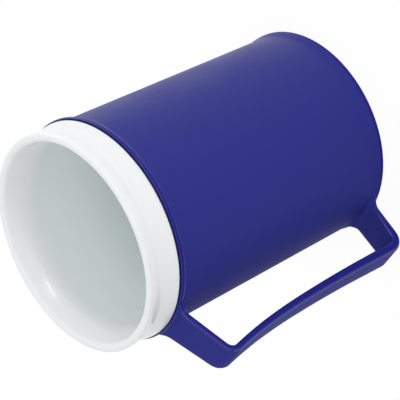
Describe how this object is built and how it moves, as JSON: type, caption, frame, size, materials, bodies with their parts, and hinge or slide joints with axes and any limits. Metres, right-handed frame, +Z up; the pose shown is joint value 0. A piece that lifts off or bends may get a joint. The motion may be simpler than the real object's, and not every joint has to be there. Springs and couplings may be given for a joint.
{
  "type": "insulated mug",
  "caption": "Tall insulated camping mug: blue plastic outer shell with a flat strap handle and a white inner cup with a rolled lip and waisted collar.",
  "frame": {"origin": "centre of the base, in the plane of the foot ring that the mug stands on", "axes": "+Z up along the mug's axis towards the mouth, +X out through the middle of the handle"},
  "size_m": [0.1273, 0.101, 0.141],
  "materials": {
    "blue_shell": "satin",
    "white_cup": "satin gloss",
    "foam": "matte"
  },
  "bodies": {
    "root": {"outer_shell": "blue_shell", "inner_cup": "white_cup", "foam_insulation": "foam", "fill_plug": "blue_shell"}
  },
  "joints": []
}
